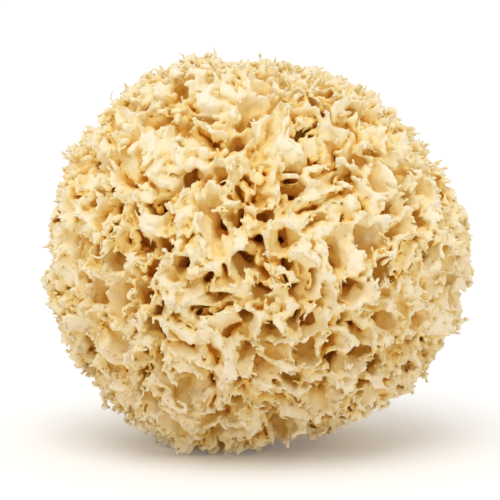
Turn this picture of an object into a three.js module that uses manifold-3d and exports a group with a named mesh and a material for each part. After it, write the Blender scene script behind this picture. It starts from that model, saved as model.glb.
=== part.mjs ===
// A dried wool sea sponge, trimmed round with shears and standing on the flat cut where it was sliced off its rock.
// Millimetres, +Z up. The origin is on the surface it stands on, under the middle of its bounding box.
// Directions are given from the sponge's middle: azimuth 0 faces the front, -Y, and grows towards +X; elevation is
// above the horizontal. The solid reaches the tips of the tufts and holds the main pores as real, tapering channels.
import * as THREE from "three";
import { mergeVertices } from "three/addons/utils/BufferGeometryUtils.js";
import Module from "manifold-3d";

const wasm = await Module();
wasm.setup();

// ---- Driving dimensions -------------------------------------------------------------------------------------------

const HALF_WIDTH = 71.5; // from the middle to the tuft tips, along X
const HALF_DEPTH = 68; // along Y
const HALF_HEIGHT = 71; // along Z, before the base is cut
const MIDDLE_HEIGHT = 63; // of the middle above the base cut
const TRIM_SHARPNESS = 26; // how crisply one sheared flat meets the next

// The flats left by the shears: the direction that each faces, and how far it lies from the middle.
const TRIMS = [
  { azimuth: 90, elevation: 36, reach: 63.5 },
  { azimuth: 90, elevation: 64, reach: 63 },
  { azimuth: 0, elevation: 88, reach: 64 },
  { azimuth: -90, elevation: 40, reach: 67 },
  { azimuth: 90, elevation: -58, reach: 65 },
  { azimuth: 0, elevation: 28, reach: 65 },
  { azimuth: 10, elevation: -42, reach: 65 },
  { azimuth: -48, elevation: 4, reach: 67 },
  { azimuth: 52, elevation: -18, reach: 67 },
  { azimuth: 180, elevation: -12, reach: 62 },
  { azimuth: 176, elevation: 38, reach: 63 },
  { azimuth: 128, elevation: 6, reach: 66 },
  { azimuth: -132, elevation: -28, reach: 66 },
  { azimuth: -125, elevation: 24, reach: 65 },
];

const TUFTS = 270; // clumps of ragged tips over the whole surface
const TUFT_RELIEF = 6; // depth of the grooves between the clumps
const BODY_DETAIL = 13; // divisions of each side of the icosahedron that the body starts from

const PORE_SIDES = 6;
const PORE_TAPER = 0.62; // a channel's end against its mouth
const PORE_DEPTH = 21; // below the tips
const PORE_PROUD = 9; // how far the cutting cone stands out of the surface
const PORE_GAP = 15; // smallest spacing between the middles of two mouths
const SPREAD_PORES = 150; // tried over the whole surface; those too close to another are left out
const SPREAD_RADII = [3.1, 4.7]; // smallest and largest of these mouths
const LOWEST_PORE = -46; // elevation, so that the base cut stays whole

// The largest pores of the front, in the order of a walk from the upper left to the lower right.
const FRONT_PORES = [
  { azimuth: -30, elevation: 45, radius: 5.2 },
  { azimuth: -62, elevation: 30, radius: 4.2 },
  { azimuth: -50, elevation: 17, radius: 3.6 },
  { azimuth: -32, elevation: 21, radius: 4.2 },
  { azimuth: -12, elevation: 32, radius: 4.2 },
  { azimuth: 0, elevation: 51, radius: 4 },
  { azimuth: 14, elevation: 33, radius: 3.8 },
  { azimuth: 35, elevation: 33, radius: 4 },
  { azimuth: 52, elevation: 25, radius: 3.8 },
  { azimuth: -14, elevation: 17, radius: 4.6 },
  { azimuth: 9, elevation: 13, radius: 5.2 },
  { azimuth: -3, elevation: 5, radius: 4.8 },
  { azimuth: -22, elevation: 3, radius: 3.8 },
  { azimuth: -41, elevation: -4, radius: 4.2 },
  { azimuth: 11, elevation: -3, radius: 5 },
  { azimuth: 29, elevation: -3, radius: 4.6 },
  { azimuth: -33, elevation: -16, radius: 5 },
  { azimuth: -5, elevation: -11, radius: 4.2 },
  { azimuth: 15, elevation: -18, radius: 4.6 },
  { azimuth: 43, elevation: -14, radius: 4.2 },
  { azimuth: 29, elevation: -24, radius: 4.8 },
  { azimuth: -32, elevation: -32, radius: 4.2 },
  { azimuth: -7, elevation: -33, radius: 4.8 },
  { azimuth: -19, elevation: -46, radius: 4.4 },
  { azimuth: 67, elevation: -30, radius: 4.4 },
];

const GOLDEN_ANGLE = Math.PI * (3 - Math.sqrt(5));
const MIDDLE = new THREE.Vector3(0, 0, MIDDLE_HEIGHT);

// ---- Directions ---------------------------------------------------------------------------------------------------

// The unit vector that faces this way from the middle.
function facing({ azimuth, elevation }) {
  const a = THREE.MathUtils.degToRad(azimuth);
  const e = THREE.MathUtils.degToRad(elevation);
  return new THREE.Vector3(Math.sin(a) * Math.cos(e), -Math.cos(a) * Math.cos(e), Math.sin(e));
}

// Point number i of count, spread evenly over the unit sphere by the golden angle, top to bottom.
function spreadDirection(i, count) {
  const z = 1 - (2 * i + 1) / count;
  const flat = Math.sqrt(1 - z * z);
  return new THREE.Vector3(flat * Math.cos(i * GOLDEN_ANGLE), flat * Math.sin(i * GOLDEN_ANGLE), z);
}

// A repeatable fraction from 0 to 1 for piece number i.
function scatter(i, salt) {
  const s = Math.sin(i * 12.9898 + salt * 78.233) * 43758.5453;
  return s - Math.floor(s);
}

// ---- The body -----------------------------------------------------------------------------------------------------

const trimPlanes = TRIMS.map((trim) => ({ normal: facing(trim), reach: trim.reach }));

// How far the tips reach from the middle in a direction: an egg-like blob, rounded over by each sheared flat.
function tipReach(direction) {
  const { x, y, z } = direction;
  const blob = 1 / Math.hypot(x / HALF_WIDTH, y / HALF_DEPTH, z / HALF_HEIGHT);
  const total = trimPlanes.reduce(
    (sum, { normal, reach }) => sum + Math.pow(Math.max(0, normal.dot(direction)) / reach, TRIM_SHARPNESS),
    Math.pow(1 / blob, TRIM_SHARPNESS),
  );
  return Math.pow(total, -1 / TRIM_SHARPNESS);
}

// The clumps' middles, shaken off the even spread so that no rows show.
const tuftMiddles = Array.from({ length: TUFTS }, (_, i) => {
  const shake = new THREE.Vector3(scatter(i, 1) - 0.5, scatter(i, 2) - 0.5, scatter(i, 3) - 0.5);
  return spreadDirection(i, TUFTS).addScaledVector(shake, 0.11).normalize();
});

// From 0 on top of a clump to 1 in the groove midway between two.
function grooveShare(direction) {
  let nearest = -1;
  let second = -1;
  for (const middle of tuftMiddles) {
    const d = middle.dot(direction);
    if (d > nearest) {
      second = nearest;
      nearest = d;
    } else if (d > second) {
      second = d;
    }
  }
  const near = Math.acos(Math.min(1, nearest));
  return (2 * near) / (near + Math.acos(Math.min(1, second)));
}

// The closed, lumpy blob, as a solid.
function lumpyBlob() {
  const ball = new THREE.IcosahedronGeometry(1, BODY_DETAIL - 1);
  const points = ball.getAttribute("position");
  const direction = new THREE.Vector3();
  for (let i = 0; i < points.count; i++) {
    direction.fromBufferAttribute(points, i).normalize();
    const height = tipReach(direction) - TUFT_RELIEF * Math.pow(grooveShare(direction), 2);
    direction.multiplyScalar(height).add(MIDDLE);
    points.setXYZ(i, direction.x, direction.y, direction.z);
  }
  return solidOf(ball);
}

// ---- The pores ----------------------------------------------------------------------------------------------------

// The front's own pores, then the spread ones wherever they stand clear of every pore before them.
function poreMouths() {
  const mouths = FRONT_PORES.map((pore) => ({ direction: facing(pore), radius: pore.radius }));
  const lowest = Math.sin(THREE.MathUtils.degToRad(LOWEST_PORE));
  const [small, large] = SPREAD_RADII;
  for (let i = 0; i < SPREAD_PORES; i++) {
    const direction = spreadDirection(i, SPREAD_PORES);
    const reach = tipReach(direction);
    const clear = mouths.every((mouth) => mouth.direction.angleTo(direction) * reach > PORE_GAP);
    if (clear && direction.z > lowest)
      mouths.push({ direction, radius: THREE.MathUtils.lerp(small, large, scatter(i, 4)) });
  }
  return mouths;
}

// The cone that cuts one pore, from outside the tips down to the channel's end.
function poreCutter({ direction, radius }) {
  const length = PORE_DEPTH + PORE_PROUD;
  const cone = new THREE.CylinderGeometry(radius, radius * PORE_TAPER, length, PORE_SIDES);
  const middle = tipReach(direction) - PORE_DEPTH + length / 2;
  cone.applyQuaternion(new THREE.Quaternion().setFromUnitVectors(new THREE.Vector3(0, 1, 0), direction));
  cone.translate(...direction.clone().multiplyScalar(middle).add(MIDDLE).toArray());
  return solidOf(cone);
}

// ---- Solids -------------------------------------------------------------------------------------------------------

// A closed three.js geometry as a solid that can be cut.
function solidOf(geometry) {
  const bare = new THREE.BufferGeometry().setAttribute("position", geometry.getAttribute("position"));
  if (geometry.index) bare.setIndex(geometry.index);
  const merged = mergeVertices(bare, 1e-3);
  return new wasm.Manifold(
    new wasm.Mesh({
      numProp: 3,
      vertProperties: new Float32Array(merged.getAttribute("position").array),
      triVerts: new Uint32Array(merged.index.array),
    }),
  );
}

// A solid back as a three.js geometry.
function geometryOf(solid) {
  const mesh = solid.getMesh();
  return new THREE.BufferGeometry()
    .setAttribute("position", new THREE.BufferAttribute(new Float32Array(mesh.vertProperties), 3))
    .setIndex(new THREE.BufferAttribute(new Uint32Array(mesh.triVerts), 1));
}

// A block that takes away everything below the base cut.
function baseCutter() {
  const size = 4 * HALF_WIDTH;
  return solidOf(new THREE.BoxGeometry(size, size, size).translate(0, 0, -size / 2));
}

// ---- The sponge ---------------------------------------------------------------------------------------------------

function spongeMesh() {
  const cutters = [baseCutter(), ...poreMouths().map(poreCutter)];
  const geometry = geometryOf(cutters.reduce((solid, cutter) => solid.subtract(cutter), lumpyBlob()));
  geometry.computeBoundingBox();
  const centre = geometry.boundingBox.getCenter(new THREE.Vector3());
  geometry.translate(-centre.x, -centre.y, 0);
  geometry.computeVertexNormals();

  const spongin = new THREE.MeshStandardMaterial({ color: 0xdcbe8b, roughness: 0.92, metalness: 0 });
  const mesh = new THREE.Mesh(geometry, spongin);
  mesh.name = "sponge";
  return mesh;
}

const sponge = new THREE.Group();
sponge.add(spongeMesh());

export default sponge;
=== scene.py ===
"""A dried wool sea sponge, trimmed round and standing on the flat cut where it was sliced off its rock.

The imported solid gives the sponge's size and place. Its looks are made in three steps: a porous skeleton
is carved as a volume and meshed in four quarters, short frayed tips are grown along the rims of its walls,
and a few long, curled fibres are left hanging over the pores. Lengths are in millimetres until a mesh is
made, and in metres after that.
"""

import logging
import math
from dataclasses import dataclass, field
from enum import Enum

import bmesh
import bpy
from mathutils import Matrix, Vector


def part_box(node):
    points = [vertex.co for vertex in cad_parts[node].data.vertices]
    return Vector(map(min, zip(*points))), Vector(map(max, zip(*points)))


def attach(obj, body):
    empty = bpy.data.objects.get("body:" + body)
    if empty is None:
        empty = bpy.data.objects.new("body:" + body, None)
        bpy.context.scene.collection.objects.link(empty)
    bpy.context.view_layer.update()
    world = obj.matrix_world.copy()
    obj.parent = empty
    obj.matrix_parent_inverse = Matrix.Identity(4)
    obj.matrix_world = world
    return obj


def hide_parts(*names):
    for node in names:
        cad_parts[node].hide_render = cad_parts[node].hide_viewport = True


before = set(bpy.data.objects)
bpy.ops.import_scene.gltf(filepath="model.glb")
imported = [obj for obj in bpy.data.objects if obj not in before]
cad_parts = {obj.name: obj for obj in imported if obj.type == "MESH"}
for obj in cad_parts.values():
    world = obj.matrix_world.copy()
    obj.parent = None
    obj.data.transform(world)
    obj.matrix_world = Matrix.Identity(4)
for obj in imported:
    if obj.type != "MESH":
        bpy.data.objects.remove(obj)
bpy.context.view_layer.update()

log = logging.getLogger("sponge")

MM = 0.001
PER_METRE = 1000.0
NODE = "sponge"
BODY = "root"
OPENNESS = "openness"
GOLDEN_ANGLE = math.pi * (3 - math.sqrt(5))

Pair = tuple[float, float]
Triple = tuple[float, float, float]
Ramp = tuple[float, float, float, float]  # where it starts and ends, and the value at each


# ---- Writing nodes as formulas -----------------


class Formula:
    """One value in a node tree, which takes part in sums like a number."""

    def __init__(self, tree: "Tree", socket: bpy.types.NodeSocket) -> None:
        """Keep the tree that the value belongs to and the socket that it comes out of."""
        self.tree = tree
        self.socket = socket

    def __add__(self, other: "Formula | float") -> "Formula":
        """Sum."""
        return self.tree.math("ADD", self, other)

    def __sub__(self, other: "Formula | float") -> "Formula":
        """Difference."""
        return self.tree.math("SUBTRACT", self, other)

    def __rsub__(self, other: float) -> "Formula":
        """Difference from a plain number."""
        return self.tree.math("SUBTRACT", other, self)

    def __mul__(self, other: "Formula | float") -> "Formula":
        """Product."""
        return self.tree.math("MULTIPLY", self, other)

    def __truediv__(self, other: "Formula | float") -> "Formula":
        """Quotient."""
        return self.tree.math("DIVIDE", self, other)

    def larger(self, other: "Formula | float") -> "Formula":
        """The larger of the two: two bodies joined."""
        return self.tree.math("MAXIMUM", self, other)

    def softly_smaller(self, other: "Formula", blend: float) -> "Formula":
        """The smaller of the two, rounded where they meet: one body cut by another."""
        return self.tree.math("SMOOTH_MIN", self, other, blend)


class Tree:
    """Adds nodes to a geometry or material tree and links them by the formulas given."""

    def __init__(self, tree: bpy.types.NodeTree) -> None:
        """Start on an existing tree."""
        self.nodes = tree.nodes
        self.links = tree.links

    @staticmethod
    def geometry(name: str) -> "tuple[Tree, Formula, bpy.types.NodeTree]":
        """Make an empty geometry tree.

        Args:
            name: the tree's name.

        Returns:
            The tree, its incoming geometry and the Blender node group.
        """
        group = bpy.data.node_groups.new(name, "GeometryNodeTree")
        group.interface.new_socket("Geometry", in_out="INPUT", socket_type="NodeSocketGeometry")
        group.interface.new_socket("Geometry", in_out="OUTPUT", socket_type="NodeSocketGeometry")
        tree = Tree(group)
        return tree, Formula(tree, tree.nodes.new("NodeGroupInput").outputs[0]), group

    def finish(self, geometry: Formula) -> None:
        """Send this geometry out of the tree."""
        self.plug(self.nodes.new("NodeGroupOutput").inputs[0], geometry)

    def plug(self, socket: bpy.types.NodeSocket, value: object) -> None:
        """Link a formula to a socket, or set the socket to a plain value."""
        if isinstance(value, Formula):
            self.links.new(value.socket, socket)
        else:
            socket.default_value = value

    def node(self, kind: str, inputs: "dict | None" = None, **settings: object) -> bpy.types.Node:
        """Add one node.

        Args:
            kind: the node's type name.
            inputs: values or formulas by the name or place of their socket.
            **settings: properties of the node, set before its sockets are filled.

        Returns:
            The node.
        """
        node = self.nodes.new(kind)
        for name, value in settings.items():
            setattr(node, name, value)
        for name, value in (inputs or {}).items():
            self.plug(node.inputs[name], value)
        return node

    def out(
        self, kind: str, inputs: "dict | None" = None, output: "str | int" = 0, **settings: object
    ) -> Formula:
        """Add one node and give one of its outputs as a formula."""
        return Formula(self, self.node(kind, inputs, **settings).outputs[output])

    def math(self, operation: str, *values: object) -> Formula:
        """Add a sum of plain values."""
        return self.out("ShaderNodeMath", dict(enumerate(values)), operation=operation)

    def vector(self, operation: str, *values: object) -> Formula:
        """Add a sum of vectors.

        Args:
            operation: the kind of sum.
            *values: the vectors; the second value of SCALE is its factor.

        Returns:
            The result: a number for LENGTH and DOT_PRODUCT, and otherwise a vector.
        """
        inputs = dict(enumerate(values))
        if operation == "SCALE":
            inputs["Scale"] = inputs.pop(1)
        output = "Value" if operation in ("LENGTH", "DOT_PRODUCT") else "Vector"
        return self.out("ShaderNodeVectorMath", inputs, output, operation=operation)

    def height(self, vector: Formula) -> Formula:
        """The third part of a vector."""
        return self.out("ShaderNodeSeparateXYZ", {0: vector}, 2)

    def remap(
        self, value: Formula, start: float, end: float, first: float, last: float, smooth: bool = False
    ) -> Formula:
        """Carry a value from one range over to another, holding it at the ends.

        Args:
            value: the value to carry over.
            start: where its own range starts.
            end: where its own range ends.
            first: the result at the start.
            last: the result at the end.
            smooth: whether it eases in and out instead of running straight.

        Returns:
            The result.
        """
        inputs = dict(enumerate((value, start, end, first, last)))
        kind = "SMOOTHSTEP" if smooth else "LINEAR"
        return self.out("ShaderNodeMapRange", inputs, 0, interpolation_type=kind)

    def noise(self, at: Formula, size: float, octaves: float = 0.0, rough: float = 0.6) -> Formula:
        """Cloudy noise about 0, from -0.5 to 0.5, with lumps of the given size."""
        inputs = {"Vector": at, "Scale": 1 / size, "Detail": octaves, "Roughness": rough}
        return self.out("ShaderNodeTexNoise", inputs, "Fac") - 0.5

    def drift(self, at: Formula, size: float, amount: float) -> Formula:
        """Wander with the place.

        Args:
            at: the place.
            size: the distance over which the wandering turns.
            amount: twice the farthest that it reaches each way.

        Returns:
            The vector to wander by.
        """
        inputs = {"Vector": at, "Scale": 1 / size, "Detail": 0.0}
        colour = self.out("ShaderNodeTexNoise", inputs, "Color")
        return self.vector("SCALE", self.vector("SUBTRACT", colour, (0.5, 0.5, 0.5)), amount)

    def cells(self, at: Formula, size: float, feature: str = "F1") -> Formula:
        """Distance to the nearest, or with F2 the second nearest, of points scattered at this spacing."""
        inputs = {"Vector": at, "Scale": 1 / size}
        return self.out("ShaderNodeTexVoronoi", inputs, "Distance", feature=feature) * size

    def attribute(self, name: str, kind: str = "FLOAT") -> Formula:
        """Read a named attribute of the mesh."""
        return self.out("GeometryNodeInputNamedAttribute", {"Name": name}, 0, data_type=kind)

    def store(self, geometry: Formula, name: str, value: Formula, kind: str = "FLOAT") -> Formula:
        """Store a value on every point of the mesh under a name."""
        inputs = {"Geometry": geometry, "Name": name, "Value": value}
        return self.out("GeometryNodeStoreNamedAttribute", inputs, 0, data_type=kind, domain="POINT")

    def random(self, low: object, high: object, seed: int, kind: str = "FLOAT") -> Formula:
        """Draw a value for every point.

        Args:
            low: the smallest value.
            high: the largest value.
            seed: the draw's seed.
            kind: the value's data type.

        Returns:
            The value drawn.
        """
        node = self.node("FunctionNodeRandomValue", {"Seed": seed}, data_type=kind)
        limits = [socket for socket in node.inputs if socket.enabled and socket.name in ("Min", "Max")]
        self.plug(limits[0], low)
        self.plug(limits[1], high)
        return Formula(self, next(socket for socket in node.outputs if socket.enabled))


# ---- Small helpers -----------------------------


def facing(azimuth: float, elevation: float) -> Vector:
    """The unit vector that faces this way: azimuth 0 is the front, -Y, and grows towards +X, in degrees."""
    a, e = math.radians(azimuth), math.radians(elevation)
    return Vector((math.sin(a) * math.cos(e), -math.cos(a) * math.cos(e), math.sin(e)))


def spread_direction(i: int, count: int) -> Vector:
    """Spread directions evenly over the sphere by the golden angle, top to bottom.

    Args:
        i: the direction's number.
        count: how many there are in all.

    Returns:
        Direction number i, of unit length.
    """
    z = 1 - (2 * i + 1) / count
    flat = math.sqrt(1 - z * z)
    return Vector((flat * math.cos(i * GOLDEN_ANGLE), flat * math.sin(i * GOLDEN_ANGLE), z))


def object_from(name: str, bm: bmesh.types.BMesh) -> bpy.types.Object:
    """Turn a bmesh into an object of the scene and free it.

    Args:
        name: the object's name.
        bm: the mesh, which is freed.

    Returns:
        The object.
    """
    mesh = bpy.data.meshes.new(name)
    bm.to_mesh(mesh)
    bm.free()
    made = bpy.data.objects.new(name, mesh)
    bpy.context.scene.collection.objects.link(made)
    return made


def remove(*objects: bpy.types.Object) -> None:
    """Take helper objects out of the scene with their meshes.

    Args:
        *objects: the helpers.
    """
    for helper in objects:
        mesh = helper.data
        bpy.data.objects.remove(helper)
        bpy.data.meshes.remove(mesh)


def grow(made: bpy.types.Object, group: bpy.types.NodeTree) -> None:
    """Run a geometry tree on an object and keep what comes out as its mesh."""
    made.modifiers.new(group.name, "NODES").node_group = group
    keep_modified(made)


def keep_modified(made: bpy.types.Object) -> None:
    """Put the result of an object's modifiers in its mesh, and clear them.

    Args:
        made: the object.
    """
    graph = bpy.context.evaluated_depsgraph_get()
    mesh = bpy.data.meshes.new_from_object(made.evaluated_get(graph))
    made.modifiers.clear()
    made.data = mesh


def triangle_count(made: bpy.types.Object) -> int:
    """How many triangles an object's mesh comes to."""
    made.data.calc_loop_triangles()
    return len(made.data.loop_triangles)


# ---- Finish ------------------------------------


@dataclass(frozen=True)
class Spongin:
    """Dry spongin, cream, with painted shade: honey on the walls of the pores and red-brown at their ends.
    """

    # How open to the air the surface is, from 0 deep in a pore to 1 on a tip, and its colour there: the
    # spongin's own cream in the open, and painted shade, darker and redder, down the pores.
    painted_pore_shades: tuple = (
        (0.0, (0.60, 0.150, 0.003)),
        (0.15, (0.83, 0.350, 0.025)),
        (0.3, (0.93, 0.570, 0.110)),
        (0.45, (0.95, 0.710, 0.260)),
        (0.6, (0.96, 0.790, 0.430)),
        (0.75, (0.965, 0.835, 0.565)),
        (0.9, (0.97, 0.865, 0.655)),
        (1.0, (0.97, 0.880, 0.700)),
    )
    roughness: Pair = (0.78, 0.95)
    specular: float = 0.2

    # The fine grain and the tiny pits in it.
    pit_size: float = 0.9
    pit_share: float = 0.6
    pit_depth: float = 0.3
    pit_bump: float = 0.3
    grain_range: Pair = (-0.3, 0.3)

    # How far each pattern moves the shade along.
    mottle_size: float = 9.0
    mottle: float = 0.10
    cloud: float = 2.0
    # The painted shade in the tiny pits: how far from a pit's middle it reaches, and how far down the ramp
    # it moves the colour.
    pit_shade_reach: float = 0.3
    pit_shade: float = 0.16

    # Painted shade on the lower side, darker towards the bottom: the heights between which it fades out
    # upwards, and its tint.
    shaded_heights: Pair = (10.0, 95.0)
    low_shade_tint: Triple = (0.91, 0.86, 0.80)

    def material(self, name: str) -> bpy.types.Material:
        """Make the material.

        Args:
            name: the material's name.

        Returns:
            The material, which reads the openness of the surface and its place on the object, and paints
            shade by them.
        """
        material = bpy.data.materials.new(name)
        material.use_nodes = True
        tree = Tree(material.node_tree)
        shader = material.node_tree.nodes["Principled BSDF"]
        at = tree.vector("SCALE", tree.out("ShaderNodeTexCoord", {}, "Object"), 1 / MM)

        # Painted shade: the less open the surface, the lower it reads on the ramp, darker and redder deep
        # in a pore.
        openness = tree.out("ShaderNodeAttribute", {}, "Fac", attribute_name=OPENNESS)
        mottling = tree.noise(at, self.mottle_size, 2.0)
        grain = tree.noise(at, self.pit_size, 1.0)
        # Painted shade: darker dots at the middles of the tiny pits that the bump presses in.
        pit_shading = tree.remap(tree.cells(at, self.pit_size), 0.0, self.pit_shade_reach, -self.pit_shade, 0.0)
        shade = openness + mottling * self.mottle * self.cloud + grain * self.mottle + pit_shading
        ramp = tree.node("ShaderNodeValToRGB", {"Fac": shade})
        self._fill(ramp.color_ramp.elements)
        colour = Formula(tree, ramp.outputs["Color"])

        # Painted shade on the lower side: the colour is darkened by the tint towards the bottom, fading out
        # upwards.
        low = tree.remap(tree.height(at), *self.shaded_heights, 1.0, 0.0, smooth=True)
        factor, first_colour, second_colour, mixed_colour = 0, 6, 7, 2
        low_shade = {factor: low, first_colour: colour, second_colour: (*self.low_shade_tint, 1)}
        shaded_colour = tree.out(
            "ShaderNodeMix", low_shade, mixed_colour, data_type="RGBA", blend_type="MULTIPLY"
        )
        tree.plug(shader.inputs["Base Color"], shaded_colour)

        relief = {"Height": tree.cells(at, self.pit_size) * self.pit_share + grain}
        relief.update({"Strength": self.pit_bump, "Distance": self.pit_depth * MM})
        tree.plug(shader.inputs["Normal"], tree.out("ShaderNodeBump", relief))
        rough = tree.remap(grain, *self.grain_range, *self.roughness)
        tree.plug(shader.inputs["Roughness"], rough)
        shader.inputs["Specular IOR Level"].default_value = self.specular
        return material

    def _fill(self, elements: bpy.types.ColorRampElements) -> None:
        """Set a ramp's stops to the painted pore shades."""
        while len(elements) < len(self.painted_pore_shades):
            elements.new(0.5)
        for element, (place, colour) in zip(elements, self.painted_pore_shades):
            element.position = place
            element.color = (*colour, 1)


# ---- The envelope ------------------------------


@dataclass(frozen=True)
class Trim:
    """A flat left by the shears: the way it faces, in degrees, and how far it lies from the middle."""

    azimuth: float
    elevation: float
    reach: float


TRIMS = (
    Trim(90, 36, 65),
    Trim(90, 64, 66),
    Trim(90, 84, 62.5),
    Trim(90, -72, 61.5),
    Trim(-90, 40, 73),
    Trim(90, -58, 65),
    Trim(0, 28, 65),
    Trim(10, -42, 65),
    Trim(-48, 4, 67),
    Trim(52, -18, 67),
    Trim(180, -12, 62),
    Trim(176, 38, 63),
    Trim(128, 6, 66),
    Trim(-132, -28, 66),
    Trim(-125, 24, 65),
)


@dataclass
class Envelope:
    """The smooth surface that the tips of the tufts reach to, as the shears left it."""

    half_width: float = 71.5
    half_depth: float = 68.0
    half_height: float = 71.0
    middle_height: float = 63.0
    trim_sharpness: float = 26.0
    trims: tuple = TRIMS
    middle: Vector = field(init=False)
    planes: list = field(init=False)

    def __post_init__(self) -> None:
        """Find the middle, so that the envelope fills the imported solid's box."""
        self.planes = [(facing(trim.azimuth, trim.elevation), trim.reach) for trim in self.trims]
        low, high = (Vector(corner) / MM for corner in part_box(NODE))
        right = self.reach(Vector((1, 0, 0))) - self.reach(Vector((-1, 0, 0)))
        back = self.reach(Vector((0, 1, 0))) - self.reach(Vector((0, -1, 0)))
        centre = (low + high) / 2
        self.middle = Vector((centre.x - right / 2, centre.y - back / 2, low.z + self.middle_height))

    def reach(self, direction: Vector) -> float:
        """Measure from the middle to the tips.

        Args:
            direction: the unit vector to measure along.

        Returns:
            How far the tips are, in millimetres.
        """
        parts = (
            direction.x / self.half_width,
            direction.y / self.half_depth,
            direction.z / self.half_height,
        )
        total = math.hypot(*parts) ** self.trim_sharpness
        for normal, reach in self.planes:
            total += (max(0.0, normal.dot(direction)) / reach) ** self.trim_sharpness
        return total ** (-1 / self.trim_sharpness)

    def build(self) -> bpy.types.Object:
        """Make the envelope.

        Returns:
            A closed mesh about the middle, in millimetres.
        """
        bm = bmesh.new()
        bmesh.ops.create_icosphere(bm, subdivisions=5, radius=1.0)
        for vertex in bm.verts:
            direction = vertex.co.normalized()
            vertex.co = direction * self.reach(direction)
        return object_from("envelope", bm)


# ---- The main channels -------------------------


# The largest pores of the front, as azimuth and elevation, row by row from the top.
FRONT_CHANNELS = (
    (-72, 49), (-30, 45), (-8, 42), (0, 51),
    (-62, 30), (-13, 31), (12, 32), (35, 33), (50, 27),
    (-50, 19), (-32, 20), (-14, 17), (8, 12),
    (-69, -1), (-41, -4), (-30, 9), (-22, 4), (-3, 6), (11, -3), (28, -3), (37, 0),
    (-33, -14), (-4, -10), (15, -14), (43, -15), (25, -26),
    (-44, -37), (-32, -31), (-18, -35), (-6, -32), (-19, -47), (67, -30),
)


@dataclass
class Channels:
    """The widest pores, which run from the surface towards the middle."""

    envelope: Envelope
    spread: int = 150
    gap: float = 15.0
    lowest: float = -46.0
    depth: float = 20.0
    proud: float = 6.0

    def directions(self) -> "list[Vector]":
        """Place the front's own pores, then evenly spread ones that stand clear of every pore before them.

        Returns:
            The unit vectors that point at the pores from the middle.
        """
        found = [facing(azimuth, elevation) for azimuth, elevation in FRONT_CHANNELS]
        lowest = math.sin(math.radians(self.lowest))
        for i in range(self.spread):
            direction = spread_direction(i, self.spread)
            reach = self.envelope.reach(direction)
            clear = all(direction.angle(other) * reach > self.gap for other in found)
            if clear and direction.z > lowest:
                found.append(direction)
        return found

    def build(self) -> bpy.types.Object:
        """Make the channels' centre lines.

        Returns:
            Loose edges about the middle, in millimetres.
        """
        bm = bmesh.new()
        for direction in self.directions():
            reach = self.envelope.reach(direction)
            mouth = bmesh.ops.create_vert(bm, co=direction * (reach + self.proud))["vert"]
            end = bmesh.ops.extrude_vert_indiv(bm, verts=mouth)["verts"]
            bmesh.ops.translate(bm, verts=end, vec=-direction * (self.depth + self.proud))
        return object_from("channel_lines", bm)


# ---- The skeleton ------------------------------


class Quadrant(Enum):
    """The four upright quarters that the body is meshed in, as the signs of X and Y there."""

    FRONT_LEFT = (-1, -1)
    FRONT_RIGHT = (1, -1)
    BACK_LEFT = (-1, 1)
    BACK_RIGHT = (1, 1)


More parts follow.
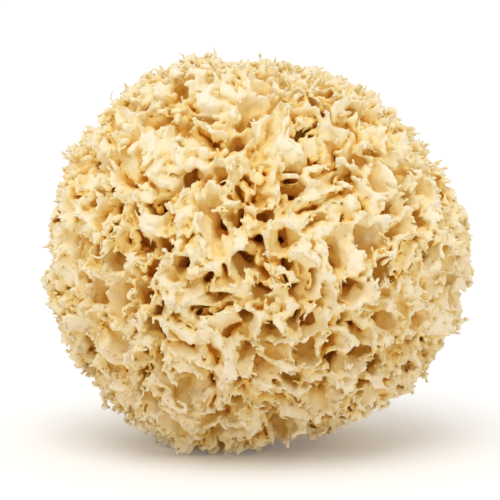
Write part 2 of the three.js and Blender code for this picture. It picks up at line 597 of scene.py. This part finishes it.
@dataclass
class Skeleton:
    """The porous body: thin walls between tapering pits, drawn out along the radius and ragged on top.

    It is one growth, but its ragged walls take more triangles than one piece may have, so it is meshed in
    four closed quarters that overlap a little way into each other.
    """

    envelope: Envelope
    channels: Channels
    finish: Spongin
    name: str = "skeleton"

    # Meshing: the voxels, the blocks that they fill, and what is kept of the mesh.
    voxel: float = 0.6
    overlap: float = 4.0
    margin: float = 2.0
    density_slope: float = 0.7
    surface_density: float = 0.5
    most_triangles: int = 190000
    smallest_crumb: int = 20000
    base_slack: float = 0.15

    # Spacing of the pits and of the dimples, and the share that is left of their length along the radius.
    cell: float = 9.4
    cell_share: float = 0.30
    small_cell: float = 3.4
    small_share: float = 0.55
    unsquashed_depth: float = 5.0

    # How the walls wander: the size and the amount of each drift.
    sway: Pair = (21.0, 15.0)
    bend: Pair = (6.5, 6.0)
    crumple: Pair = (2.8, 2.8)
    channel_bend: float = 0.9

    # Noise along the radius: the share that is left of its length, the size of its lumps and its octaves.
    tongues: Triple = (0.15, 4.4, 2.0)
    teeth: Triple = (0.3, 1.4, 1.0)
    knobs: Triple = (0.6, 2.2, 1.0)

    # Calm places, in soft patches and all over a plateau, and the crown.
    calm_size: float = 24.0
    calm_patches: Ramp = (0.05, 0.18, 0.0, 0.4)
    plateau: Pair = (-21.0, -18.0)
    plateau_edge: Ramp = (0.15, 0.30, 1.0, 0.0)
    crown_edge: Ramp = (0.0, 0.6, 0.0, 1.0)

    # The ragged tops: heights everywhere, and what calm places and the crown take off them.
    worn_off: float = 4.0
    relief: float = 12.5
    calm_relief: float = 6.5
    crown_relief: float = 4.0
    pit_middle: float = 4.8
    pit_lift: float = 0.8
    tooth: float = 10.0
    crown_tooth: float = 5.0
    calm_tooth: float = 3.0
    bead_size: float = 1.5
    bead_height: float = 2.8

    # The walls: half their thickness by depth, and what is added to it.
    wall: Ramp = (0.0, 16.0, 0.6, 2.4)
    swell: Ramp = (0.0, 8.0, 6.0, 0.0)
    crown_wall: float = 0.5
    calm_wall: float = 0.8
    bead_wall: float = 0.9

    # Radii of the pits, the main channels and the dimples by depth, and how much smaller the crown's are.
    pit: Ramp = (0.0, 20.0, 7.5, 1.8)
    bore: Ramp = (0.0, 22.0, 3.4, 1.4)
    dimple: Ramp = (-1.0, 5.0, 1.5, 0.0)
    crown_pit: float = 1.4
    crown_dimple: float = 1.5

    # How widely each cut is rounded into the body.
    bore_blend: float = 0.6
    top_blend: float = 0.5
    dimple_blend: float = 0.4
    base_blend: float = 0.3

    # Openness: rays from each point, where they start and how far they look, and how often it is evened.
    rays: int = 20
    ray_start: float = 0.2
    ray_length: float = 26.0
    evening: int = 6

    def build(self) -> "dict[Quadrant, bpy.types.Object]":
        """Carve the body, thin its mesh and note how open each point is.

        Returns:
            The finished quarters of the body, not yet dressed.
        """
        helpers = (self.envelope.build(), self.channels.build())
        quarters = {quadrant: self._quarter(quadrant, *helpers) for quadrant in Quadrant}
        whole = object_from("whole", bmesh.new())
        grow(whole, self._joined(list(quarters.values())))
        openness = self._openness(whole)
        for quarter in quarters.values():
            grow(quarter, openness)
        remove(*helpers, whole)
        return quarters

    def dress(self, quarters: "dict[Quadrant, bpy.types.Object]") -> None:
        """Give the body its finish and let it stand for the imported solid.

        Args:
            quarters: the quarters of the body.
        """
        material = self.finish.material("spongin_walls")
        for quarter in quarters.values():
            quarter.data.materials.clear()
            quarter.data.materials.append(material)
            quarter.data.shade_smooth()
            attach(quarter, BODY)
            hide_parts(NODE)

    def _quarter(
        self, quadrant: Quadrant, envelope: bpy.types.Object, lines: bpy.types.Object
    ) -> bpy.types.Object:
        """Carve and thin one quarter of the body.

        Args:
            quadrant: which quarter it is.
            envelope: the surface that the tips reach to.
            lines: the centre lines of the main channels.

        Returns:
            The quarter, in its place.
        """
        quarter = object_from(f"{self.name}_{quadrant.name.lower()}", bmesh.new())
        grow(quarter, self._carving(quadrant, envelope, lines))
        self._thin(quarter)
        self._flatten_base(quarter)
        return quarter

    def _block(self, quadrant: Quadrant) -> "tuple[Vector, Vector]":
        """Find the block that a quarter is carved from.

        Args:
            quadrant: which quarter it is.

        Returns:
            The block's lowest and highest corners, in millimetres.
        """
        shape = self.envelope
        aside = Vector((shape.half_width + self.margin, shape.half_depth + self.margin, 0))
        low = shape.middle - aside
        high = shape.middle + aside + Vector((0, 0, shape.half_height))
        low.z = -self.margin
        for axis, sign in enumerate(quadrant.value):
            if sign < 0:
                high[axis] = shape.middle[axis] + self.overlap
            else:
                low[axis] = shape.middle[axis] - self.overlap
        return low, high

    def _joined(self, parts: "list[bpy.types.Object]") -> bpy.types.NodeTree:
        """Write the tree that gathers several objects' meshes in one.

        Args:
            parts: the objects.

        Returns:
            The node group.
        """
        tree, _, group = Tree.geometry("gathering")
        join = tree.node("GeometryNodeJoinGeometry")
        for part in parts:
            info = tree.out("GeometryNodeObjectInfo", {"Object": part}, "Geometry")
            tree.plug(join.inputs[0], info)
        tree.finish(Formula(tree, join.outputs[0]))
        return group

    def _carving(
        self, quadrant: Quadrant, envelope: bpy.types.Object, lines: bpy.types.Object
    ) -> bpy.types.NodeTree:
        """Write the geometry tree that fills a block of voxels and meshes what is solid.

        Args:
            quadrant: the quarter of the body.
            envelope: the surface that the tips reach to.
            lines: the centre lines of the main channels.

        Returns:
            The node group.
        """
        tree, _, group = Tree.geometry("carving")
        position = tree.out("GeometryNodeInputPosition")
        at = tree.vector("SUBTRACT", tree.vector("SCALE", position, 1 / MM), self.envelope.middle)
        solid = self._solid(tree, at, envelope, lines)

        low, high = self._block(quadrant)
        density = tree.math("ADD", solid * self.density_slope, self.surface_density)
        block = {"Density": density, "Background": 0.0, "Min": low * MM, "Max": high * MM}
        for axis, size in zip("XYZ", high - low):
            block[f"Resolution {axis}"] = round(size / self.voxel)
        volume = tree.out("GeometryNodeVolumeCube", block)
        meshing = {"Volume": volume, "Threshold": self.surface_density, "Adaptivity": 0.0}
        mesh = tree.out("GeometryNodeVolumeToMesh", meshing)
        tree.finish(self._without_crumbs(tree, mesh))
        return group

    def _solid(
        self, tree: Tree, at: Formula, envelope: bpy.types.Object, lines: bpy.types.Object
    ) -> Formula:
        """Say how deep inside the body a place is, in millimetres; below nothing it is air.

        Args:
            tree: the tree.
            at: the place, from the sponge's middle.
            envelope: the surface that the tips reach to.
            lines: the centre lines of the main channels.

        Returns:
            The depth inside the solid, roughly.
        """
        outward = tree.vector("NORMALIZE", at)
        depth = self._depth(tree, at, outward, envelope)
        bend = tree.drift(at, *self.bend)
        crumple = tree.drift(at, *self.crumple)
        sway = tree.drift(at, *self.sway)
        lean = tree.vector("ADD", sway, tree.vector("ADD", bend, crumple))
        bent = tree.vector("ADD", at, lean)

        drawn = self._drawn_out(tree, bent, self.cell_share)
        nearest = tree.cells(drawn, self.cell)
        rim = (tree.cells(drawn, self.cell, "F2") - nearest) * 0.5

        calm = self._calm(tree, at, outward)
        crown = tree.remap(tree.height(outward), *self.crown_edge, smooth=True)
        relief = self.relief - calm * self.calm_relief - crown * self.crown_relief
        tongues = self._noise(tree, bent, *self.tongues)
        lift = (nearest - self.pit_middle) * self.pit_lift
        below_top = depth - self.worn_off + tongues * relief + lift
        bead = tree.cells(self._drawn_out(tree, bent, self.small_share), self.small_cell)
        beads = (self.bead_size - bead) * crown
        tooth = self.tooth - crown * self.crown_tooth - calm * self.calm_tooth
        top = below_top + self._noise(tree, bent, *self.teeth) * tooth + beads * self.bead_height

        swell = tree.remap(below_top, *self.swell) * self._noise(tree, bent, *self.knobs)
        wall = tree.remap(below_top, *self.wall) + crown * self.crown_wall + calm * self.calm_wall
        wall = wall + swell + beads * self.bead_wall - rim
        pit = nearest + crown * self.crown_pit - tree.remap(below_top, *self.pit, smooth=True)
        walls = wall.larger(pit)

        wander = tree.vector("ADD", crumple, tree.vector("SCALE", bend, self.channel_bend))
        channel = self._channel_distance(tree, tree.vector("ADD", at, wander), lines)
        bore = tree.remap(depth, *self.bore, smooth=True)
        dimples = bead + crown * self.crown_dimple - tree.remap(below_top, *self.dimple)
        height = tree.height(at) + self.envelope.middle_height
        cuts = (
            (channel - bore, self.bore_blend),
            (top, self.top_blend),
            (dimples, self.dimple_blend),
            (height, self.base_blend),
        )
        for cut, blend in cuts:
            walls = walls.softly_smaller(cut, blend)
        return walls

    def _calm(self, tree: Tree, at: Formula, outward: Formula) -> Formula:
        """Find where the tops are calmer: in soft patches, and all over the plateau.

        Args:
            tree: the tree.
            at: the place, from the sponge's middle.
            outward: the unit vector to it.

        Returns:
            How calm the place is, from 0 to 1.
        """
        patches = tree.remap(tree.noise(at, self.calm_size), *self.calm_patches, smooth=True)
        aside = tree.vector("LENGTH", tree.vector("SUBTRACT", outward, facing(*self.plateau)))
        return patches.larger(tree.remap(aside, *self.plateau_edge, smooth=True))

    def _depth(self, tree: Tree, at: Formula, outward: Formula, envelope: bpy.types.Object) -> Formula:
        """Measure how far a place lies below the envelope.

        Args:
            tree: the tree.
            at: the place, from the sponge's middle.
            outward: the unit vector to it.
            envelope: the surface that the tips reach to.

        Returns:
            The depth along the radius, in millimetres.
        """
        inputs = {
            "Target Geometry": tree.out("GeometryNodeObjectInfo", {"Object": envelope}, "Geometry"),
            "Source Position": tree.vector("SCALE", at, 0.0),
            "Ray Direction": outward,
            "Ray Length": 2 * self.envelope.half_width,
        }
        return tree.out("GeometryNodeRaycast", inputs, "Hit Distance") - tree.vector("LENGTH", at)

    def _channel_distance(self, tree: Tree, at: Formula, lines: bpy.types.Object) -> Formula:
        """Measure how far a place lies from the nearest channel.

        Args:
            tree: the tree.
            at: the place, already bent, from the sponge's middle.
            lines: the channels' centre lines.

        Returns:
            The distance to the nearest centre line, in millimetres.
        """
        target = tree.out("GeometryNodeObjectInfo", {"Object": lines}, "Geometry")
        inputs = {"Geometry": target, "Sample Position": at}
        return tree.out("GeometryNodeProximity", inputs, "Distance", target_element="EDGES")

    def _noise(self, tree: Tree, at: Formula, share: float, size: float, octaves: float) -> Formula:
        """Cloudy noise that comes out drawn out along the radius."""
        return tree.noise(self._drawn_out(tree, at, share), size, octaves)

    def _drawn_out(self, tree: Tree, at: Formula, share: float) -> Formula:
        """Press places together along the radius, so that a pattern read there comes out drawn out.

        Args:
            tree: the tree.
            at: the place, from the sponge's middle.
            share: what is left of a length along the radius.

        Returns:
            The place to read the pattern at.
        """
        waist = self.envelope.half_width - self.unsquashed_depth
        radius = (tree.vector("LENGTH", at) - waist) * share + waist
        return tree.vector("SCALE", tree.vector("NORMALIZE", at), radius)

    def _without_crumbs(self, tree: Tree, mesh: Formula) -> Formula:
        """Delete every loose crumb, keeping the one large body.

        Args:
            tree: the tree.
            mesh: the mesh with its crumbs.

        Returns:
            The body.
        """
        island = tree.out("GeometryNodeInputMeshIsland", {}, "Island Index")
        points = {"Group ID": island, "Value": 1.0}
        total = tree.out("GeometryNodeAccumulateField", points, "Total", domain="POINT")
        small = tree.math("LESS_THAN", total, float(self.smallest_crumb))
        crumbs = {"Geometry": mesh, "Selection": tree.math("GREATER_THAN", small, 0.5)}
        return tree.out("GeometryNodeDeleteGeometry", crumbs, domain="POINT")

    def _thin(self, body: bpy.types.Object) -> None:
        """Bring the mesh down to its number of triangles.

        Args:
            body: a quarter of the body.
        """
        thinning = body.modifiers.new("thinning", "DECIMATE")
        thinning.ratio = min(1.0, self.most_triangles / triangle_count(body))
        keep_modified(body)

    def _flatten_base(self, body: bpy.types.Object) -> None:
        """Bring the points of the base cut onto the ground.

        Args:
            body: a quarter of the body.
        """
        for vertex in body.data.vertices:
            if vertex.co.z < self.base_slack * MM:
                vertex.co.z = 0.0

    def _openness(self, whole: bpy.types.Object) -> bpy.types.NodeTree:
        """Write the tree that stores how open each point is: 1 in the open, and 0 deep in a pore.

        Args:
            whole: the joined body, which shades its own points.

        Returns:
            The node group.
        """
        tree, mesh, group = Tree.geometry("openness")
        body = tree.out("GeometryNodeObjectInfo", {"Object": whole}, "Geometry")
        normal = tree.out("GeometryNodeInputNormal")
        lifted = tree.vector("SCALE", normal, self.ray_start * MM)
        start = tree.vector("ADD", tree.out("GeometryNodeInputPosition"), lifted)
        length = self.ray_length * MM
        weights = free = None
        for i in range(self.rays):
            direction = spread_direction(i, self.rays)
            weight = tree.vector("DOT_PRODUCT", normal, direction).larger(0.0)
            inputs = {"Target Geometry": body, "Source Position": start, "Ray Direction": direction}
            ray = tree.node("GeometryNodeRaycast", inputs | {"Ray Length": length})
            distance = Formula(tree, ray.outputs["Hit Distance"]) * (1 / length)
            share = 1.0 - Formula(tree, ray.outputs["Is Hit"]) * (1.0 - distance)
            weights = weight if weights is None else weights + weight
            free = weight * share if free is None else free + weight * share
        evened = {"Value": free / weights, "Iterations": self.evening}
        openness = tree.out("GeometryNodeBlurAttribute", evened, 0, data_type="FLOAT")
        tree.finish(tree.store(mesh, OPENNESS, openness))
        return group


# ---- Frayed tips and loose fibres --------------


@dataclass(frozen=True)
class Tip:
    """One blunt, frayed end, of unit length and width, standing on +Z."""

    bend: float
    waist: float
    bulb: float
    fork: float = 0.0
    sides: int = 5
    foot_radius: float = 0.5
    end_radius: float = 0.24
    waist_height: float = 0.4
    bulb_height: float = 0.8
    fork_length: float = 0.75

    def build(self, name: str) -> bpy.types.Object:
        """Make the tip as one closed cone, or as two that part like a fork.

        Args:
            name: the object's name.

        Returns:
            The tip.
        """
        bm = bmesh.new()
        self._stem(bm, 1.0, 0.0)
        if self.fork:
            self._stem(bm, self.fork_length, self.fork)
        for face in bm.faces:
            face.smooth = True
        return object_from(name, bm)

    def _stem(self, bm: bmesh.types.BMesh, length: float, lean: float) -> None:
        """Add a cone, ring it, swell its end, bend it and lean it over.

        Args:
            bm: the mesh to add to.
            length: the stem's length.
            lean: how far it leans from upright, in degrees.
        """
        cone = bmesh.ops.create_cone(
            bm, cap_ends=True, segments=self.sides, radius1=self.foot_radius, radius2=self.end_radius,
            depth=1.0, matrix=Matrix.Translation((0, 0, 0.5)),
        )
        for height in (self.waist_height, self.bulb_height):
            faces = {face for vertex in cone["verts"] for face in vertex.link_faces}
            edges = {edge for face in faces for edge in face.edges}
            verts = {vertex for face in faces for vertex in face.verts}
            cut = bmesh.ops.bisect_plane(
                bm, geom=[*verts, *edges, *faces], plane_co=(0, 0, height), plane_no=(0, 0, 1)
            )
            cone["verts"] += [part for part in cut["geom_cut"] if isinstance(part, bmesh.types.BMVert)]
        for vertex in cone["verts"]:
            z = vertex.co.z
            width = self._width(z)
            vertex.co.x = vertex.co.x * width + self.bend * z * z
            vertex.co.y *= width
            vertex.co.z *= length
        upright_to_lean = Matrix.Rotation(math.radians(lean), 3, "Y")
        bmesh.ops.rotate(bm, verts=cone["verts"], matrix=upright_to_lean)

    def _width(self, height: float) -> float:
        """Say how wide the stem is against the plain cone.

        Args:
            height: the height along the stem, of which only the two rings are changed.

        Returns:
            The factor.
        """
        near = 0.1
        if abs(height - self.waist_height) < near:
            return self.waist
        if abs(height - self.bulb_height) < near:
            return self.bulb
        return 1.0


@dataclass(frozen=True)
class Curl:
    """One long fibre of unit length, a thin rod spun round into a hook."""

    turn: float
    drift: float
    thickness: float = 0.07
    sides: int = 4
    steps: int = 9

    def build(self, name: str) -> bpy.types.Object:
        """Make the fibre by spinning a small disc about an axis beside it.

        Args:
            name: the object's name.

        Returns:
            The fibre.
        """
        bm = bmesh.new()
        disc = bmesh.ops.create_circle(bm, cap_ends=True, segments=self.sides, radius=self.thickness)
        radius = 1.0 / math.radians(self.turn)
        bmesh.ops.spin(
            bm, geom=disc["verts"] + bm.edges[:] + bm.faces[:], cent=(radius, 0, 0), axis=(0, 1, 0),
            dvec=(0, self.drift / self.steps, 0), angle=math.radians(self.turn), steps=self.steps,
        )
        bmesh.ops.recalc_face_normals(bm, faces=bm.faces[:])
        for face in bm.faces:
            face.smooth = True
        return object_from(name, bm)


@dataclass
class Fringe:
    """Small pieces scattered along the rims of the walls, standing out the way each rim points."""

    shapes: "tuple[Tip | Curl, ...]"
    finish: Spongin
    seed: int
    per_square: float
    sharpest: float
    openness: Pair
    lengths: Pair
    widths: Pair
    unruly: float
    blur: int = 4
    bluntest: float = 0.3
    # Nothing grows below the first height, and above the second it grows in full.
    clear_of_ground: Pair = (6.0, 10.0)

    def build(self, name: str, body: bpy.types.Object) -> bpy.types.Object:
        """Scatter the shapes over a quarter of the body.

        Args:
            name: the new piece's name.
            body: the quarter, with its openness.

        Returns:
            The joined piece, not yet dressed.
        """
        shapes = [shape.build(f"{name}_shape_{i}") for i, shape in enumerate(self.shapes)]
        collection = bpy.data.collections.new(f"{name}_shapes")
        for shape in shapes:
            collection.objects.link(shape)
        piece = bpy.data.objects.new(name, body.data.copy())
        bpy.context.scene.collection.objects.link(piece)
        grow(piece, self._scattering(collection))
        bpy.data.collections.remove(collection)
        remove(*shapes)
        for attribute in ("rim", "rim_direction", "id"):
            if attribute in piece.data.attributes:
                piece.data.attributes.remove(piece.data.attributes[attribute])
        return piece

    def dress(self, piece: bpy.types.Object, material: bpy.types.Material) -> None:
        """Give the piece its finish and let it ride with the sponge.

        Args:
            piece: the scattered piece.
            material: its material.
        """
        piece.data.materials.clear()
        piece.data.materials.append(material)
        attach(piece, BODY)

    def _scattering(self, shapes: bpy.types.Collection) -> bpy.types.NodeTree:
        """Write the tree that finds the rims and sets the shapes on them.

        Args:
            shapes: the shapes to choose from.

        Returns:
            The node group.
        """
        tree, mesh, group = Tree.geometry("scattering")
        mesh = self._mark_rims(tree, mesh)
        density = tree.attribute("rim") * PER_METRE * (PER_METRE * self.per_square)
        scatter = {"Mesh": mesh, "Density": density, "Seed": self.seed}
        points = tree.out("GeometryNodeDistributePointsOnFaces", scatter)
        astray = tree.random((-self.unruly,) * 3, (self.unruly,) * 3, self.seed + 1, "FLOAT_VECTOR")
        towards = tree.vector("ADD", tree.attribute("rim_direction", "FLOAT_VECTOR"), astray)
        rotation = tree.out("FunctionNodeAlignEulerToVector", {"Vector": towards}, axis="Z")
        shortest, longest = self.lengths
        chance = tree.random(0.0, 1.0, self.seed + 2)
        length = (chance * chance * (longest - shortest) + shortest) * MM
        width = tree.random(*(width * MM for width in self.widths), self.seed + 3)
        scale = tree.out("ShaderNodeCombineXYZ", {0: width, 1: width, 2: length})
        pieces = {"Collection": shapes, "Separate Children": True, "Reset Children": True}
        placed = {
            "Points": points,
            "Instance": tree.out("GeometryNodeCollectionInfo", pieces),
            "Pick Instance": True,
            "Instance Index": tree.random(0, len(self.shapes) - 1, self.seed + 4, "INT"),
            "Rotation": rotation,
            "Scale": scale,
        }
        instances = tree.out("GeometryNodeInstanceOnPoints", placed)
        roll = tree.out("ShaderNodeCombineXYZ", {2: tree.random(0.0, math.tau, self.seed + 5)})
        rolled = tree.out("GeometryNodeRotateInstances", {"Instances": instances, "Rotation": roll})
        tree.finish(tree.out("GeometryNodeRealizeInstances", {"Geometry": rolled}))
        return group

    def _mark_rims(self, tree: Tree, mesh: Formula) -> Formula:
        """Store how much each point is a rim of a wall, and the way that the rim points.

        Args:
            tree: the tree.
            mesh: the quarter of the body.

        Returns:
            The mesh with both attributes.
        """
        position = tree.out("GeometryNodeInputPosition")
        normal = tree.out("GeometryNodeInputNormal")
        evened = {"Value": position, "Iterations": self.blur}
        smooth = tree.out("GeometryNodeBlurAttribute", evened, 0, data_type="FLOAT_VECTOR")
        ridge = tree.vector("SCALE", tree.vector("SUBTRACT", position, smooth), 1 / MM)
        sharpness = tree.vector("DOT_PRODUCT", ridge, normal)
        rim = tree.remap(sharpness, self.bluntest * self.sharpest, self.sharpest, 0.0, 1.0)
        rim = rim * tree.remap(tree.attribute(OPENNESS), *self.openness, 0.0, 1.0)
        heights = (height * MM for height in self.clear_of_ground)
        rim = rim * tree.remap(tree.height(position), *heights, 0.0, 1.0)
        mesh = tree.store(mesh, "rim", rim)
        return tree.store(mesh, "rim_direction", tree.vector("NORMALIZE", ridge), "FLOAT_VECTOR")


# ---- Studio ------------------------------------


@dataclass
class Studio:
    """A pale floor, soft light from above and the camera."""

    camera_elevation: float = 8.0
    camera_distance: float = 1.1
    sensor_width: float = 36.0
    framed_width: float = 162.5
    aim_aside: float = -2.6
    aim_height: float = 64.0
    sky: float = 0.77
    key_strength: float = 0.95
    key_azimuth: float = -10.0
    key_elevation: float = 65.0
    key_softness: float = 40.0
    floor_white: float = 0.97
    floor_glow: float = 0.08
    floor_sides: int = 96
    floor_reach: float = 4.0
    # Rings outside the flat floor: the radius of each, and how far it rises above the last, in metres.
    cove: tuple = ((4.6, 0.05), (5.1, 0.15), (5.5, 0.30), (5.8, 0.50))

    def build(self) -> None:
        """Make the camera, the lights and the floor."""
        self._camera()
        self._sky()
        self._key()
        self._floor()
        bpy.context.scene.view_settings.view_transform = "Standard"

    def _camera(self) -> None:
        """Set the camera at the height and distance that show the sponge as it was seen."""
        camera = bpy.data.cameras.new("camera")
        camera.sensor_width = self.sensor_width
        camera.lens = self.sensor_width * self.camera_distance / (self.framed_width * MM)
        aim = Vector((self.aim_aside * MM, 0, self.aim_height * MM))
        holder = bpy.data.objects.new("camera", camera)
        holder.location = aim + facing(0, self.camera_elevation) * self.camera_distance
        holder.rotation_euler = (aim - holder.location).to_track_quat("-Z", "Y").to_euler()
        bpy.context.scene.collection.objects.link(holder)
        bpy.context.scene.camera = holder

    def _sky(self) -> None:
        """Light the room evenly in white."""
        world = bpy.data.worlds.new("room")
        world.use_nodes = True
        background = world.node_tree.nodes["Background"]
        background.inputs["Color"].default_value = (1, 1, 1, 1)
        background.inputs["Strength"].default_value = self.sky
        bpy.context.scene.world = world

    def _key(self) -> None:
        """Hang one large, soft light overhead."""
        light = bpy.data.lights.new("key", "SUN")
        light.energy = self.key_strength
        light.angle = math.radians(self.key_softness)
        holder = bpy.data.objects.new("key", light)
        towards = -facing(self.key_azimuth, self.key_elevation)
        holder.rotation_euler = towards.to_track_quat("-Z", "Y").to_euler()
        bpy.context.scene.collection.objects.link(holder)

    def _floor(self) -> None:
        """Lay a wide, pale floor that curves up far away, so that no horizon shows."""
        bm = bmesh.new()
        reach = self.floor_reach
        bmesh.ops.create_circle(bm, cap_ends=True, segments=self.floor_sides, radius=reach)
        for radius, rise in self.cove:
            rim = [edge for edge in bm.edges if edge.is_boundary]
            grown = bmesh.ops.extrude_edge_only(bm, edges=rim)["geom"]
            ring = [part for part in grown if isinstance(part, bmesh.types.BMVert)]
            bmesh.ops.scale(bm, verts=ring, vec=(radius / reach, radius / reach, 1))
            bmesh.ops.translate(bm, verts=ring, vec=(0, 0, rise))
            reach = radius
        for face in bm.faces:
            face.smooth = True
        floor = object_from("floor", bm)
        pale = bpy.data.materials.new("pale_floor")
        pale.use_nodes = True
        shader = pale.node_tree.nodes["Principled BSDF"]
        matt = {
            "Base Color": (self.floor_white, self.floor_white, self.floor_white, 1),
            "Roughness": 1.0,
            "Specular IOR Level": 0.0,
            "Emission Color": (1, 1, 1, 1),
            "Emission Strength": self.floor_glow,
        }
        for name, value in matt.items():
            shader.inputs[name].default_value = value
        floor.data.materials.append(pale)


# ---- The sponge --------------------------------


TIPS = (
    Tip(0.1, 0.9, 1.5),
    Tip(0.3, 0.85, 1.4),
    Tip(0.5, 1.0, 1.6),
    Tip(-0.2, 0.8, 1.3, fork=-50),
    Tip(0.2, 1.1, 1.7),
)
CURLS = (
    Curl(110, 0.1),
    Curl(190, 0.35),
    Curl(280, 0.5, thickness=0.055),
    Curl(60, 0.0, thickness=0.06),
)


def report(piece: bpy.types.Object) -> None:
    """Log a piece's name, size and number of triangles."""
    size = ", ".join(f"{side / MM:.1f}" for side in piece.dimensions)
    log.info("%s: %s mm, %d triangles", piece.name, size, triangle_count(piece))


def main() -> None:
    """Build the studio and the sponge's pieces in order."""
    logging.basicConfig(level=logging.INFO, format="%(message)s")
    Studio().build()

    finish = Spongin()
    envelope = Envelope()
    skeleton = Skeleton(envelope, Channels(envelope), finish)
    quarters = skeleton.build()
    skeleton.dress(quarters)

    tips = Fringe(
        TIPS, finish, seed=3, per_square=0.07, sharpest=0.8, openness=(0.35, 0.6),
        lengths=(0.8, 2.0), widths=(0.8, 1.4), unruly=0.45,
    )
    fibres = Fringe(
        CURLS, finish, seed=40, per_square=0.012, sharpest=1.0, openness=(0.4, 0.7),
        lengths=(2.5, 5.5), widths=(2.5, 5.0), unruly=0.8,
    )
    tip_material = finish.material("spongin_tips")
    for quadrant, body in quarters.items():
        report(body)
        for label, fringe in (("frayed_tips", tips), ("loose_fibres", fibres)):
            piece = fringe.build(f"{label}_{quadrant.name.lower()}", body)
            fringe.dress(piece, tip_material)
            report(piece)


if __name__ == "__main__":
    main()
